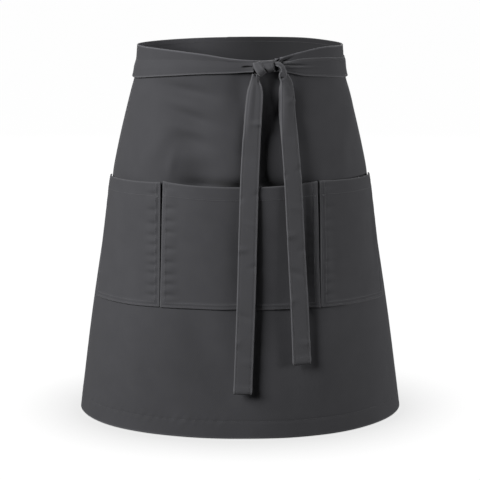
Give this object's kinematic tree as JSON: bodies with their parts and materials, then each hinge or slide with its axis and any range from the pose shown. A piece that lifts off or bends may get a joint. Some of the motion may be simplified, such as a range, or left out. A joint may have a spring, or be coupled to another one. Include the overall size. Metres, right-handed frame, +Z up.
{
  "type": "bistro apron",
  "caption": "Waist apron of plain charcoal cloth, wrapped round and open below at the back, with patch pockets across the front and a flat tie knotted in front with hanging tails.",
  "frame": {"origin": "middle of the waist opening, level with the rim at the sides, where the apron sits on the waist", "axes": "+Z up out of the waist opening, -Y towards the front where the knot and pockets are, +X towards the right as seen from the front"},
  "size_m": [0.5256, 0.3741, 0.5982],
  "materials": {
    "panel_twill": "charcoal cotton twill, matt, with tone on tone stitching",
    "pocket_twill": "charcoal cotton twill, matt, with tone on tone stitching",
    "tie_twill": "charcoal cotton twill folded double into a flat strip and edge stitched"
  },
  "bodies": {
    "root": {"skirt_panel": "panel_twill", "pocket_left": "pocket_twill", "pocket_middle": "pocket_twill", "pocket_right": "pocket_twill", "waist_tie": "tie_twill", "tie_knot": "tie_twill", "tie_tail_left": "tie_twill", "tie_tail_right": "tie_twill"}
  },
  "joints": []
}
